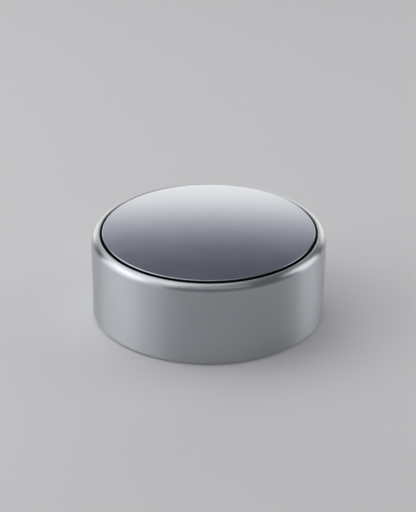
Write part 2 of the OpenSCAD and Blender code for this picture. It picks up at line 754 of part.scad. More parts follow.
// One coil spring of round wire, standing on z = 0
module coil(length) {
    steps = 12;
    sides = 6;
    last = steps * coil_turns;
    points = [for (i = [0:last], k = [0:sides - 1])
        let (
            a = 360 * i / steps,
            slope = (coil_z((i + 1) / steps, length) - coil_z((i - 1) / steps, length))
                / (coil_r * 4 * PI / steps),
            b = 360 * k / sides,
            out = coil_r + wire_d / 2 * cos(b),
            side = wire_d / 2 * sin(b) / sqrt(1 + slope * slope)
        )
        [out * cos(a) + side * slope * sin(a), out * sin(a) - side * slope * cos(a),
         wire_d / 2 + coil_z(i / steps, length) + side]];
    walls = [for (i = [0:last - 1], k = [0:sides - 1])
        let (p = i * sides + k, q = i * sides + (k + 1) % sides)
        each [[p, p + sides, q], [q, p + sides, q + sides]]];
    start = [for (k = [1:sides - 2]) [0, k, k + 1]];
    end = [for (k = [1:sides - 2]) [last * sides, last * sides + k + 1, last * sides + k]];
    polyhedron(points = points, faces = concat(walls, start, end));
}

// Return springs: one in each tower, under the carrier's plate
module return_springs() {
    color("#d9dbde") around(tower_angles, tower_r) translate([0, 0, spring_z]) coil(spring_l);
}

// Key cap: metal disc with a very shallow crown, a softened edge and a skirt
module key_cap() {
    steps = 16;
    corner_x = key_r - key_edge;
    corner_z = key_z - key_edge;
    tilt = atan(2 * crown / corner_x);
    edge_r = corner_x + key_edge * sin(tilt);
    edge_z = corner_z + key_edge * cos(tilt);
    skirt_break = 0.15;
    function face(r) = edge_z + crown * (1 - pow(r / edge_r, 2));
    color("#b3b8c2") rotate_extrude($fn = 160) polygon(concat(
        [[pocket_r, cap_ceiling], [pocket_r, plate_z], [key_r - skirt_break, plate_z],
         [key_r, plate_z + skirt_break]],
        arc(corner_x, corner_z, key_edge, 0, 90 - tilt, 6),
        [for (i = [1:steps]) let (r = edge_r * (1 - pow(i / steps, 1.5))) [r, face(r)]],
        [[0, cap_ceiling]]));
}

// Adhesive: ring that bonds the cap to the carrier
module key_adhesive() {
    color("#8b8f96") ring(plate_r - 0.4, plate_r - 0.4 - glue_w, plate_top, cap_ceiling);
}

// One hooked leg, with a gusset at its root
module leg() {
    gusset = 0.7;
    radial(leg_w) polygon([
        [leg_in - gusset - over, plate_z + over], [leg_in, plate_z - gusset],
        [leg_in, leg_z], [leg_out - 0.2, leg_z], [hook_r, hook_top - 0.4],
        [hook_r, hook_top], [leg_out, hook_top], [leg_out, plate_z + over]]);
}

// Key carrier: moulded plate with nub, ribs, spring spigots and three hooked legs
module key_carrier() {
    hub_r = nub_d / 2 + 0.9;
    rings = [plate_r * 0.52, plate_r * 0.75];
    rib_z = plate_z - plate_rib;
    spigot_r = coil_r - wire_d / 2 - 0.2;
    spigot_l = 1.6;
    color("#202125") {
        ring(plate_r, 0, plate_z, plate_top);
        ring(hub_r, 0, max(rib_z - 0.1, stem_top + over), plate_z + over);
        translate([0, 0, stem_top + nub_play]) cylinder(d = nub_d, h = plate_z - stem_top);
        for (r = rings) ring(r + rib_t / 2, r - rib_t / 2, rib_z, plate_z + over);
        around([0:60:300]) block(hub_r - over, rings[1], -rib_t / 2, rib_t / 2, rib_z + 0.1, plate_z + over);
        around(tower_angles, tower_r) rotate_extrude($fn = 32) polygon([
            [0, plate_z - spigot_l], [spigot_r - 0.25, plate_z - spigot_l],
            [spigot_r, plate_z - spigot_l + 0.3], [spigot_r, plate_z + over], [0, plate_z + over]]);
        around(leg_angles) leg();
    }
}

// Battery cover: shallow cup with flange, seal groove, three lugs, coin slot and raised pointer
module battery_cover() {
    groove_z = base_z + (flange_t - seal_d) / 2 - seal_fit;
    ridge = cell_gap - 0.05;
    color("#26272b") difference() {
        union() {
            ring(flange_r, 0, base_z, flange_top);
            ring(door_r, 0, flange_top - over, door_floor);
            ring(door_r, well_r, door_floor - over, door_top);
            ring(cell_r * 0.7, cell_r * 0.7 - rib_t, door_floor - over, door_floor + ridge);
            for (a = lug_angles)
                sector(lug_r, door_r - over, lug_z, lug_top, a - lug_w / 2, a + lug_w / 2);
            around([mark_angle])
                block(door_r - 2 * mark_w, flange_r - mark_w, -mark_w / 2, mark_w / 2,
                      base_z - mark_h, base_z + over);
        }
        ring(flange_r + over, seal_groove_r, groove_z, groove_z + seal_d + 2 * seal_fit);
        translate([0, 0, base_z + slot_depth - coin_r]) rotate([90, 0, 0])
            cylinder(r = coin_r, h = slot_w, center = true, $fn = 240);
    }
}

// Cover seal: rubber ring in the flange's groove
module cover_seal() {
    color("#5c2f2a") rotate_extrude()
        translate([seal_groove_r + seal_fit + seal_d / 2, base_z + flange_t / 2])
            circle(d = seal_d, $fn = 24);
}

casing();
base();
foot_ring();
base_screws();
chassis();
pcb();
pcb_screws();
radio_chip();
crystal();
chip_antenna();
capacitors();
resistors();
status_led();
switch_base();
switch_cover();
switch_terminals();
switch_dome();
contact_plus();
contact_minus();
cell_can();
cell_gasket();
cell_cap();
cell_pellet();
return_springs();
key_cap();
key_adhesive();
key_carrier();
switch_stem();
battery_cover();
cover_seal();
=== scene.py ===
import math

import bmesh
import bpy
from mathutils import Matrix, Vector


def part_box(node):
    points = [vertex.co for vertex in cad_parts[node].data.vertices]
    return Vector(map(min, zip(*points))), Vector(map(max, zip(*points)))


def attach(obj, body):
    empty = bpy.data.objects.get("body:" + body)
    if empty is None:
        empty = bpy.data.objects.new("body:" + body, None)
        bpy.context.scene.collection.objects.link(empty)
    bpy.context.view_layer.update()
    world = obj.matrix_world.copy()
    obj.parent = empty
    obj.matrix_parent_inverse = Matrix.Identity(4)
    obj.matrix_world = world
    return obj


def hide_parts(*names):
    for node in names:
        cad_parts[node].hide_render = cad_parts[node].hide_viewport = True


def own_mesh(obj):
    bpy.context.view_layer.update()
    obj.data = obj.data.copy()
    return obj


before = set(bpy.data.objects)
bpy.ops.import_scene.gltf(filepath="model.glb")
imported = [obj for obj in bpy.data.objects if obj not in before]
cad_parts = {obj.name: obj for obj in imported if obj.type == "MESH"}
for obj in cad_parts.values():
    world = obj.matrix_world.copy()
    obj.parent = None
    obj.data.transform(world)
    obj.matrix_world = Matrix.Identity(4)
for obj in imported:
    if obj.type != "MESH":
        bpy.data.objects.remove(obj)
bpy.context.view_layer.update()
MM = 0.001

# Camera: a long lens a forearm's length away, 27.5 degrees above the table. The button's axis
# stands just right of the picture's middle.
view_pitch = math.radians(27.55)
view_distance = 385.1 * MM
view_aim_z = 11.24 * MM
view_lens_mm = 140.6
view_shift_right = 0.14 * MM

camera_data = bpy.data.cameras.new("camera")
camera_data.lens = view_lens_mm
camera_data.sensor_width = 36
camera_data.clip_start = 0.01
camera_data.clip_end = 20
camera = bpy.data.objects.new("camera", camera_data)
camera.location = (
    -view_shift_right,
    -view_distance * math.cos(view_pitch),
    view_aim_z + view_distance * math.sin(view_pitch),
)
camera.rotation_euler = (math.pi / 2 - view_pitch, 0, 0)
bpy.context.collection.objects.link(camera)
bpy.context.scene.camera = camera
bpy.context.scene.view_settings.view_transform = "Standard"


# Studio: a plain pale table, a world that is palest behind the button near the horizon and dim
# elsewhere, and soft boxes on both sides and above, as for a packshot of satin metal. The table
# glows a little of itself for the camera and in what mirrors it, so that it stays pale there.
def new_material(name):
    """A new material with its nodes, its links and its shader, ready to be wired."""
    material = bpy.data.materials.new(name)
    material.use_nodes = True
    tree = material.node_tree
    return material, tree.nodes, tree.links, tree.nodes["Principled BSDF"]


floor_size = 3.0
floor_tone = (0.85, 0.85, 0.86, 1)
floor_roughness = 0.9
floor_glow = 0.6
floor_glow_share = 0.12
floor_mesh = bmesh.new()
bmesh.ops.create_grid(floor_mesh, x_segments=1, y_segments=1, size=floor_size / 2)
floor_data = bpy.data.meshes.new("table")
floor_mesh.to_mesh(floor_data)
floor_mesh.free()
floor = bpy.data.objects.new("table", floor_data)
bpy.context.collection.objects.link(floor)
floor_material, nodes, links, shader = new_material("table_top")
shader.inputs["Base Color"].default_value = floor_tone
shader.inputs["Roughness"].default_value = floor_roughness
glow = nodes.new("ShaderNodeEmission")
glow.inputs["Color"].default_value = (1, 1, 1, 1)
glow.inputs["Strength"].default_value = floor_glow
ray = nodes.new("ShaderNodeLightPath")
seen = nodes.new("ShaderNodeMath")
seen.operation = "ADD"
mirrored = nodes.new("ShaderNodeMath")
mirrored.operation = "ADD"
mirrored.use_clamp = True
share = nodes.new("ShaderNodeMath")
share.operation = "MULTIPLY"
share.inputs[1].default_value = floor_glow_share
paled = nodes.new("ShaderNodeMixShader")
links.new(ray.outputs["Is Camera Ray"], seen.inputs[0])
links.new(ray.outputs["Is Glossy Ray"], seen.inputs[1])
links.new(seen.outputs[0], mirrored.inputs[0])
links.new(ray.outputs["Is Transmission Ray"], mirrored.inputs[1])
links.new(mirrored.outputs[0], share.inputs[0])
links.new(share.outputs[0], paled.inputs["Fac"])
links.new(shader.outputs[0], paled.inputs[1])
links.new(glow.outputs[0], paled.inputs[2])
links.new(paled.outputs[0], nodes["Material Output"].inputs["Surface"])
floor_data.materials.append(floor_material)

sky_pale = (1.41, 1.39, 1.31, 1)
sky_mid = (0.17, 0.187, 0.262, 1)
sky_dark = (0.012, 0.016, 0.035, 1)
room_dark = (0.02, 0.022, 0.035, 1)
room_pale = (0.12, 0.124, 0.135, 1)
sky_pale_up_to = 0.385
sky_mid_at = 0.45
sky_dark_from = 0.52
room_dark_up_to = 0.12
room_pale_from = 0.35
behind_from = 0.7
behind_fully = 0.9
world = bpy.data.worlds.new("studio")
bpy.context.scene.world = world
world.use_nodes = True
nodes, links = world.node_tree.nodes, world.node_tree.links
direction = nodes.new("ShaderNodeTexCoord")
split = nodes.new("ShaderNodeSeparateXYZ")
sky = nodes.new("ShaderNodeValToRGB")
behind = nodes.new("ShaderNodeMapRange")
behind.interpolation_type = "SMOOTHSTEP"
behind.inputs["From Min"].default_value = behind_from
behind.inputs["From Max"].default_value = behind_fully
room = nodes.new("ShaderNodeMix")
room.data_type = "RGBA"
stops = sky.color_ramp.elements
stops[0].position, stops[0].color = sky_pale_up_to, sky_pale
stops[1].position, stops[1].color = sky_dark_from, sky_dark
middle = stops.new(sky_mid_at)
middle.color = sky_mid
front = nodes.new("ShaderNodeValToRGB")
stops = front.color_ramp.elements
stops[0].position, stops[0].color = room_dark_up_to, room_dark
stops[1].position, stops[1].color = room_pale_from, room_pale
links.new(direction.outputs["Generated"], split.inputs[0])
links.new(split.outputs["Z"], sky.inputs["Fac"])
links.new(split.outputs["Z"], front.inputs["Fac"])
links.new(front.outputs["Color"], room.inputs[6])
links.new(split.outputs["Y"], behind.inputs["Value"])
links.new(behind.outputs["Result"], room.inputs[0])
links.new(sky.outputs["Color"], room.inputs[7])
links.new(room.outputs[2], nodes["Background"].inputs["Color"])


def soft_box(name, azimuth, elevation, distance, width, height, radiance):
    """A soft box that faces the button, in degrees and metres; azimuth 0 is at the camera."""
    data = bpy.data.lights.new(name, "AREA")
    data.shape = "RECTANGLE"
    data.size = width
    data.size_y = height
    data.energy = radiance * math.pi * width * height
    lamp = bpy.data.objects.new(name, data)
    a, e = math.radians(azimuth), math.radians(elevation)
    out = Vector((math.sin(a) * math.cos(e), -math.cos(a) * math.cos(e), math.sin(e)))
    lamp.location = out * distance
    lamp.rotation_mode = "QUATERNION"
    lamp.rotation_quaternion = out.to_track_quat("Z", "Y")
    bpy.context.collection.objects.link(lamp)
    lamp.visible_camera = False
    return lamp


soft_box(
    "left_box", azimuth=-92, elevation=23, distance=0.35, width=0.33, height=0.33, radiance=1.12)
soft_box(
    "left_fill", azimuth=-54, elevation=23, distance=0.35, width=0.14, height=0.33, radiance=0.45)
soft_box(
    "right_box", azimuth=107, elevation=23, distance=0.35, width=0.19, height=0.33, radiance=1.15)
soft_box(
    "front_box", azimuth=0, elevation=66, distance=0.6, width=0.6, height=0.14, radiance=0.68)
soft_box(
    "main_box", azimuth=-125, elevation=59, distance=0.6, width=0.8, height=0.52, radiance=0.98)


# Base: the moulded plate that closes the casing from below, in black glass-filled plastic with a
# fine spark-eroded grain. It carries the bayonet collar, the screw posts and the foot's groove.
def grained(
    name, tone, roughness, grain, depth, metal=0.0, mottle=0.06, worn=None, edge=0.12,
    spread=0.05,
):
    """A surface with its own grain: its size and depth in millimetres, with paler worn edges."""
    material, nodes, links, shader = new_material(name)
    shader.inputs["Metallic"].default_value = metal
    place = nodes.new("ShaderNodeTexCoord")
    pits = nodes.new("ShaderNodeTexNoise")
    pits.inputs["Scale"].default_value = 1 / (grain * MM)
    pits.inputs["Detail"].default_value = 3
    cloud_scale = 220
    clouds = nodes.new("ShaderNodeTexNoise")
    clouds.inputs["Scale"].default_value = cloud_scale
    clouds.inputs["Detail"].default_value = 2
    shade = nodes.new("ShaderNodeMix")
    shade.data_type = "RGBA"
    shade.inputs[6].default_value = [c * (1 - mottle) for c in tone] + [1]
    shade.inputs[7].default_value = [c * (1 + mottle) for c in tone] + [1]
    satin = nodes.new("ShaderNodeMapRange")
    satin.inputs["To Min"].default_value = roughness - spread
    satin.inputs["To Max"].default_value = roughness + spread
    relief = nodes.new("ShaderNodeBump")
    relief.inputs["Strength"].default_value = 0.5
    relief.inputs["Distance"].default_value = depth * MM
    links.new(place.outputs["Object"], pits.inputs["Vector"])
    links.new(place.outputs["Object"], clouds.inputs["Vector"])
    links.new(clouds.outputs["Fac"], shade.inputs[0])
    links.new(clouds.outputs["Fac"], satin.inputs["Value"])
    links.new(pits.outputs["Fac"], relief.inputs["Height"])
    links.new(satin.outputs["Result"], shader.inputs["Roughness"])
    links.new(relief.outputs["Normal"], shader.inputs["Normal"])
    colour = shade.outputs[2]
    if worn:
        edge_least = 0.995
        edge_most = 0.9
        most_worn = 0.6
        round_over = nodes.new("ShaderNodeBevel")
        round_over.samples = 4
        round_over.inputs["Radius"].default_value = edge * MM
        here = nodes.new("ShaderNodeNewGeometry")
        turned_off = nodes.new("ShaderNodeVectorMath")
        turned_off.operation = "DOT_PRODUCT"
        rubbed = nodes.new("ShaderNodeMapRange")
        rubbed.inputs["From Min"].default_value = edge_least
        rubbed.inputs["From Max"].default_value = edge_most
        rubbed.inputs["To Max"].default_value = most_worn
        patchy = nodes.new("ShaderNodeMath")
        patchy.operation = "MULTIPLY"
        bare = nodes.new("ShaderNodeMix")
        bare.data_type = "RGBA"
        bare.inputs[7].default_value = list(worn) + [1]
        links.new(round_over.outputs["Normal"], turned_off.inputs[0])
        links.new(here.outputs["Normal"], turned_off.inputs[1])
        links.new(turned_off.outputs["Value"], rubbed.inputs["Value"])
        links.new(rubbed.outputs["Result"], patchy.inputs[0])
        links.new(clouds.outputs["Fac"], patchy.inputs[1])
        links.new(patchy.outputs[0], bare.inputs[0])
        links.new(colour, bare.inputs[6])
        colour = bare.outputs[2]
    links.new(colour, shader.inputs["Base Color"])
    return material


def finish_piece(mesh, name, body, node, finishes, sharp=32, ease=0.0, steps=2):
    """Puts a shaped mesh in the scene as a piece, in place of its CAD node."""
    data = bpy.data.meshes.new(name)
    for face in mesh.faces:
        face.smooth = True
    for line in mesh.edges:
        if len(line.link_faces) == 2 and line.calc_face_angle(0) > math.radians(sharp):
            line.smooth = False
    mesh.to_mesh(data)
    mesh.free()
    piece = bpy.data.objects.new(name, data)
    bpy.context.collection.objects.link(piece)
    for finish in finishes if isinstance(finishes, (list, tuple)) else [finishes]:
        data.materials.append(finish)
    if ease:
        eased = piece.modifiers.new("eased_corners", "BEVEL")
        eased.width = ease * MM
        eased.segments = steps
        eased.limit_method = "ANGLE"
        eased.angle_limit = math.radians(sharp)
    even = piece.modifiers.new("even_shading", "WEIGHTED_NORMAL")
    even.keep_sharp = True
    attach(piece, body)
    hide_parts(node)
    return piece


def cad_copy(node):
    """A merged copy of a CAD node's mesh, with its flat faces made whole."""
    weld_within = 2e-6
    flat_within = math.radians(0.4)
    mesh = bmesh.new()
    mesh.from_mesh(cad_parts[node].data)
    for layer in list(mesh.loops.layers.uv.values()):
        mesh.loops.layers.uv.remove(layer)
    bmesh.ops.remove_doubles(mesh, verts=mesh.verts, dist=weld_within)
    bmesh.ops.dissolve_limit(
        mesh, angle_limit=flat_within, use_dissolve_boundaries=False, verts=mesh.verts,
        edges=mesh.edges, delimit=set(),
    )
    for face in mesh.faces:
        face.material_index = 0
    for line in mesh.edges:
        line.smooth = True
    return mesh


base_finish = grained(
    "base_black_plastic", (0.018, 0.019, 0.021), roughness=0.5, grain=0.12, depth=0.02,
    worn=(0.09, 0.09, 0.095))
finish_piece(
    cad_copy("base"), "base_plate", "case", "base", base_finish, ease=0.1)


# Foot ring: a soft black rubber ring glued in the base's groove over the screws. It is moulded
# with rounded edges and three fine grooves that keep the button from sliding.
def ring_edges(mesh, radius, height, slack=0.02 * MM):
    """Edges that run round the axis at one radius and height."""
    found = []
    for line in mesh.edges:
        ends = [(math.hypot(v.co.x, v.co.y), v.co.z) for v in line.verts]
        if all(abs(r - radius) < slack and abs(z - height) < slack for r, z in ends):
            found.append(line)
    return found


def turned(outline, steps=144, centre=(0, 0)):
    """A shape turned on the lathe from the points of its section, as radius and height."""
    mesh = bmesh.new()
    points = [mesh.verts.new((centre[0] + r, centre[1], z)) for r, z in outline]
    pairs = list(zip(points, points[1:]))
    if outline[0][0] > 0 or outline[-1][0] > 0:
        pairs.append((points[-1], points[0]))
    lines = [mesh.edges.new(pair) for pair in pairs]
    bmesh.ops.spin(
        mesh, geom=points + lines, cent=(centre[0], centre[1], 0), axis=(0, 0, 1),
        dvec=(0, 0, 0), angle=math.tau, steps=steps, use_merge=True, use_normal_flip=False,
        use_duplicate=False,
    )
    bmesh.ops.remove_doubles(mesh, verts=mesh.verts, dist=1e-7)
    bmesh.ops.recalc_face_normals(mesh, faces=mesh.faces)
    return mesh


def soften(mesh, radius, height, size, segments):
    """Rounds the edge that runs round the axis at one radius and height."""
    bmesh.ops.bevel(
        mesh, geom=ring_edges(mesh, radius, height), offset=size, offset_type="OFFSET",
        affect="EDGES", segments=segments, profile=0.5, material=-1, clamp_overlap=True,
    )


foot_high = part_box("foot_ring")[1]
foot_w = 3.2 * MM
foot_out = foot_high.x
foot_in = foot_out - foot_w
foot_soft = 0.25 * MM
grip_w = 0.16 * MM
grip_deep = 0.14 * MM
grip_places = (0.3, 0.5, 0.7)
foot_line = [(foot_in, foot_high.z), (foot_in, 0)]
for place_share in grip_places:
    middle_r = foot_in + foot_w * place_share
    foot_line += [
        (middle_r - grip_w, 0), (middle_r - grip_w / 2, grip_deep),
        (middle_r + grip_w / 2, grip_deep), (middle_r + grip_w, 0),
    ]
foot_line += [(foot_out, 0), (foot_out, foot_high.z)]
foot_mesh = turned(foot_line)
soften(foot_mesh, foot_in, 0, foot_soft, segments=4)
soften(foot_mesh, foot_out, 0, foot_soft, segments=4)
rubber_finish = grained(
    "foot_black_rubber", (0.012, 0.012, 0.013), roughness=0.72, grain=0.08, depth=0.012,
    mottle=0.2)
finish_piece(foot_mesh, "foot_rubber_ring", "case", "foot_ring", rubber_finish)


# Base screws: three small pan-head screws in zinc-plated steel. They clamp the casing's ledge
# between the base and the chassis.
zinc_finish = grained(
    "zinc_plated_steel", (0.62, 0.63, 0.66), roughness=0.3, grain=0.06, depth=0.004, metal=1.0,
    worn=(0.8, 0.8, 0.82), edge=0.08)
finish_piece(
    cad_copy("base_screws"), "base_clamp_screws", "case", "base_screws", zinc_finish,
    ease=0.04)


# Casing: one aluminium shell, turned, finely brushed round its axis and clear anodised. Its wall
# is straight, its rim is rounded up to a narrow land, and its inner edge is chamfered.
case_low, case_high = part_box("casing")
casing_r = case_high.x
rim_t = 1.6 * MM
rim_land = 0.08 * MM
rim_chamfer = 0.1 * MM
wall_t = 1.2 * MM
lip_h = 3.5 * MM
ledge_up = 2.0 * MM
ledge_t = 1.0 * MM
ledge_w = 1.8 * MM
foot_break = 0.3 * MM
turned_steps = 192
casing_tone = (0.63, 0.65, 0.68)


def brushed_metal(name, tone, roughness, line_pitch, line_depth, finer, finer_from, finer_to):
    """Satin metal brushed along its own map's first direction, and finer between two heights."""
    brushing = 0.9
    mottle = 0.02
    spread = 0.03
    cloud_scale = 130
    material, nodes, links, shader = new_material(name)
    shader.inputs["Metallic"].default_value = 1.0
    shader.inputs["Anisotropic"].default_value = brushing
    shader.inputs["Anisotropic Rotation"].default_value = 0.25
    along = nodes.new("ShaderNodeTangent")
    along.direction_type = "UV_MAP"
    along.uv_map = "round_the_axis"
    place = nodes.new("ShaderNodeUVMap")
    place.uv_map = "round_the_axis"
    split = nodes.new("ShaderNodeSeparateXYZ")
    lines = nodes.new("ShaderNodeTexNoise")
    lines.noise_dimensions = "1D"
    lines.inputs["Scale"].default_value = 1 / (line_pitch * MM)
    lines.inputs["Detail"].default_value = 4
    solid = nodes.new("ShaderNodeTexCoord")
    clouds = nodes.new("ShaderNodeTexNoise")
    clouds.inputs["Scale"].default_value = cloud_scale
    clouds.inputs["Detail"].default_value = 3
    shade = nodes.new("ShaderNodeMix")
    shade.data_type = "RGBA"
    shade.inputs[6].default_value = [c * (1 - mottle) for c in tone] + [1]
    shade.inputs[7].default_value = [c * (1 + mottle) for c in tone] + [1]
    satin = nodes.new("ShaderNodeMapRange")
    satin.inputs["To Min"].default_value = roughness - spread
    satin.inputs["To Max"].default_value = roughness + spread
    relief = nodes.new("ShaderNodeBump")
    relief.inputs["Strength"].default_value = 0.3
    relief.inputs["Distance"].default_value = line_depth * MM
    links.new(place.outputs["UV"], split.inputs[0])
    links.new(split.outputs["Y"], lines.inputs["W"])
    links.new(solid.outputs["Object"], clouds.inputs["Vector"])
    links.new(clouds.outputs["Fac"], shade.inputs[0])
    links.new(lines.outputs["Fac"], satin.inputs["Value"])
    links.new(lines.outputs["Fac"], relief.inputs["Height"])
    links.new(shade.outputs[2], shader.inputs["Base Color"])
    height = nodes.new("ShaderNodeSeparateXYZ")
    polish = nodes.new("ShaderNodeMapRange")
    polish.inputs["From Min"].default_value = finer_from
    polish.inputs["From Max"].default_value = finer_to
    polish.inputs["To Max"].default_value = finer
    eased = nodes.new("ShaderNodeMath")
    eased.operation = "SUBTRACT"
    links.new(solid.outputs["Object"], height.inputs[0])
    links.new(height.outputs["Z"], polish.inputs["Value"])
    links.new(satin.outputs["Result"], eased.inputs[0])
    links.new(polish.outputs["Result"], eased.inputs[1])
    links.new(eased.outputs[0], shader.inputs["Roughness"])
    links.new(along.outputs["Tangent"], shader.inputs["Tangent"])
    links.new(relief.outputs["Normal"], shader.inputs["Normal"])
    return material


def map_round_axis(mesh):
    """A map whose first direction runs round the axis and whose second climbs the section."""
    layer = mesh.loops.layers.uv.new("round_the_axis")
    for face in mesh.faces:
        middle = face.calc_center_median()
        facing = math.atan2(middle.y, middle.x)
        for corner in face.loops:
            at = corner.vert.co
            turn = math.atan2(at.y, at.x) - facing
            turn = (turn + math.pi) % math.tau - math.pi
            corner[layer].uv = ((facing + turn) * casing_r, at.z - math.hypot(at.x, at.y))


rim_r = casing_r - rim_t
bore_r = casing_r - wall_t
ledge_low = case_low.z + ledge_up
ledge_high = ledge_low + ledge_t
ledge_r = bore_r - ledge_w
lip_z = case_high.z - lip_h
casing_mesh = turned([
    (casing_r, case_low.z), (casing_r, case_high.z), (rim_r, case_high.z), (rim_r, lip_z),
    (bore_r, lip_z - (rim_t - wall_t)), (bore_r, ledge_high), (ledge_r, ledge_high),
    (ledge_r, ledge_low), (bore_r, ledge_low), (bore_r, case_low.z),
], steps=turned_steps)
soften(casing_mesh, casing_r, case_high.z, rim_t - rim_land - rim_chamfer, segments=16)
soften(casing_mesh, rim_r, case_high.z, rim_chamfer, segments=3)
soften(casing_mesh, casing_r, case_low.z, foot_break, segments=4)
map_round_axis(casing_mesh)
polish_from = case_high.z - rim_t
polish_to = case_high.z - 0.4 * rim_t
casing_finish = brushed_metal(
    "casing_brushed_aluminium", casing_tone, roughness=0.45, line_pitch=0.05, line_depth=0.002,
    finer=0.15, finer_from=polish_from, finer_to=polish_to)
finish_piece(
    casing_mesh, "casing_shell", "case", "casing", casing_finish, sharp=40)


# Chassis: the moulded frame inside the casing, in black plastic. It holds the cell, the board
# and the springs, and its three windows keep the key's hooks.
chassis_finish = grained(
    "chassis_black_plastic", (0.016, 0.016, 0.018), roughness=0.45, grain=0.15, depth=0.015,
    worn=(0.06, 0.06, 0.065))
finish_piece(
    cad_copy("chassis"), "chassis_frame", "case", "chassis", chassis_finish,
    ease=0.08)


# Battery contacts: one strip that leans on the cell's side and one leaf that presses on its top,
# stamped from phosphor bronze sheet and soldered under the board.
bronze_finish = grained(
    "phosphor_bronze_sheet", (0.72, 0.52, 0.28), roughness=0.28, grain=0.2, depth=0.004, metal=1.0,
    mottle=0.1, worn=(0.85, 0.7, 0.45), edge=0.05)
for node, name in (("contact_plus", "side_contact"), ("contact_minus", "leaf_contact")):
    finish_piece(
        cad_copy(node), name, "case", node, bronze_finish, ease=0.03)


# Circuit board: glass-filled laminate under a dark green mask, with copper tracks that show
# through it as slightly raised, paler lines.
board_low, board_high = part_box("pcb")
mask_tone = (0.008, 0.06, 0.03, 1)
track_tone = (0.03, 0.15, 0.07, 1)
area_size = 5.5 * MM
lengthwise_share = 0.5
bare_share = 0.4
track_pitch = 0.45 * MM
track_edge = 0.08 * MM
track_runs = (4.1 * MM, 3.3 * MM)
copper_t = 0.03 * MM
via_scale = 300
via_scatter = 0.8
via_outside = 0.09
via_inside = 0.07
mask_roughness = 0.34
track_roughness = 0.26
board_finish, nodes, links, shader = new_material("green_solder_mask")
shader.inputs["Coat Weight"].default_value = 0.3
shader.inputs["Coat Roughness"].default_value = 0.2
place = nodes.new("ShaderNodeTexCoord")
areas = nodes.new("ShaderNodeTexVoronoi")
areas.distance = "CHEBYCHEV"
areas.inputs["Scale"].default_value = 1 / area_size
kind = nodes.new("ShaderNodeSeparateColor")
lengthwise = nodes.new("ShaderNodeMath")
lengthwise.operation = "GREATER_THAN"
lengthwise.inputs[1].default_value = lengthwise_share
routed = nodes.new("ShaderNodeMath")
routed.operation = "GREATER_THAN"
routed.inputs[1].default_value = bare_share
chosen = nodes.new("ShaderNodeMix")
laid = nodes.new("ShaderNodeMath")
laid.operation = "MULTIPLY"
links.new(place.outputs["Object"], areas.inputs["Vector"])
links.new(areas.outputs["Color"], kind.inputs[0])
links.new(kind.outputs[0], lengthwise.inputs[0])
links.new(kind.outputs[1], routed.inputs[0])
links.new(lengthwise.outputs[0], chosen.inputs[0])
for turn, run, socket in ((0, track_runs[0], 2), (math.pi / 2, track_runs[1], 3)):
    laying = nodes.new("ShaderNodeMapping")
    laying.inputs["Rotation"].default_value = (0, 0, turn)
    tracks = nodes.new("ShaderNodeTexBrick")
    tracks.offset = 0.37
    tracks.squash = 0.6
    tracks.squash_frequency = 3
    tracks.inputs["Scale"].default_value = 1.0
    tracks.inputs["Brick Width"].default_value = run
    tracks.inputs["Row Height"].default_value = track_pitch
    tracks.inputs["Mortar Size"].default_value = track_edge
    tracks.inputs["Mortar Smooth"].default_value = 0.2
    tracks.inputs["Color1"].default_value = (0, 0, 0, 1)
    tracks.inputs["Color2"].default_value = (0, 0, 0, 1)
    tracks.inputs["Mortar"].default_value = (1, 1, 1, 1)
    links.new(place.outputs["Object"], laying.inputs["Vector"])
    links.new(laying.outputs["Vector"], tracks.inputs["Vector"])
    links.new(tracks.outputs["Fac"], chosen.inputs[socket])
links.new(chosen.outputs[0], laid.inputs[0])
links.new(routed.outputs[0], laid.inputs[1])
dots = nodes.new("ShaderNodeTexVoronoi")
dots.inputs["Scale"].default_value = via_scale
dots.inputs["Randomness"].default_value = via_scatter
via = nodes.new("ShaderNodeMapRange")
via.inputs["From Min"].default_value = via_outside
via.inputs["From Max"].default_value = via_inside
copper = nodes.new("ShaderNodeMath")
copper.operation = "MAXIMUM"
mask = nodes.new("ShaderNodeMix")
mask.data_type = "RGBA"
mask.inputs[6].default_value = mask_tone
mask.inputs[7].default_value = track_tone
satin = nodes.new("ShaderNodeMapRange")
satin.inputs["To Min"].default_value = mask_roughness
satin.inputs["To Max"].default_value = track_roughness
relief = nodes.new("ShaderNodeBump")
relief.inputs["Strength"].default_value = 0.6
relief.inputs["Distance"].default_value = copper_t
links.new(place.outputs["Object"], dots.inputs["Vector"])
links.new(dots.outputs["Distance"], via.inputs["Value"])
links.new(laid.outputs[0], copper.inputs[0])
links.new(via.outputs["Result"], copper.inputs[1])
links.new(copper.outputs[0], mask.inputs[0])
links.new(copper.outputs[0], satin.inputs["Value"])
links.new(copper.outputs[0], relief.inputs["Height"])
links.new(mask.outputs[2], shader.inputs["Base Color"])
links.new(satin.outputs["Result"], shader.inputs["Roughness"])
links.new(relief.outputs["Normal"], shader.inputs["Normal"])
finish_piece(
    cad_copy("pcb"), "circuit_board", "case", "pcb", board_finish, ease=0.04, steps=1)


# Board screws: three pan-head screws like the base's, in the same zinc-plated steel, driven from
# above through the board into the chassis's bosses.
finish_piece(
    cad_copy("pcb_screws"), "board_screws", "case", "pcb_screws", zinc_finish,
    ease=0.04)


# Radio chip: a square package moulded in black epoxy, with a pin-one dimple and a row of tinned
# pads along each side.
def block(mesh, low, high, ease, finish=0, steps=2):
    """Adds a block between two corners, with softened edges."""
    corners = bmesh.ops.create_cube(mesh, size=1)["verts"]
    bmesh.ops.scale(mesh, vec=Vector(high) - Vector(low), verts=corners)
    bmesh.ops.translate(mesh, vec=(Vector(low) + Vector(high)) / 2, verts=corners)
    for face in {face for corner in corners for face in corner.link_faces}:
        face.material_index = finish
    bmesh.ops.bevel(
        mesh, geom=list({line for corner in corners for line in corner.link_edges}),
        offset=ease, offset_type="OFFSET", affect="EDGES", segments=steps, profile=0.5,
        material=-1, clamp_overlap=True,
    )


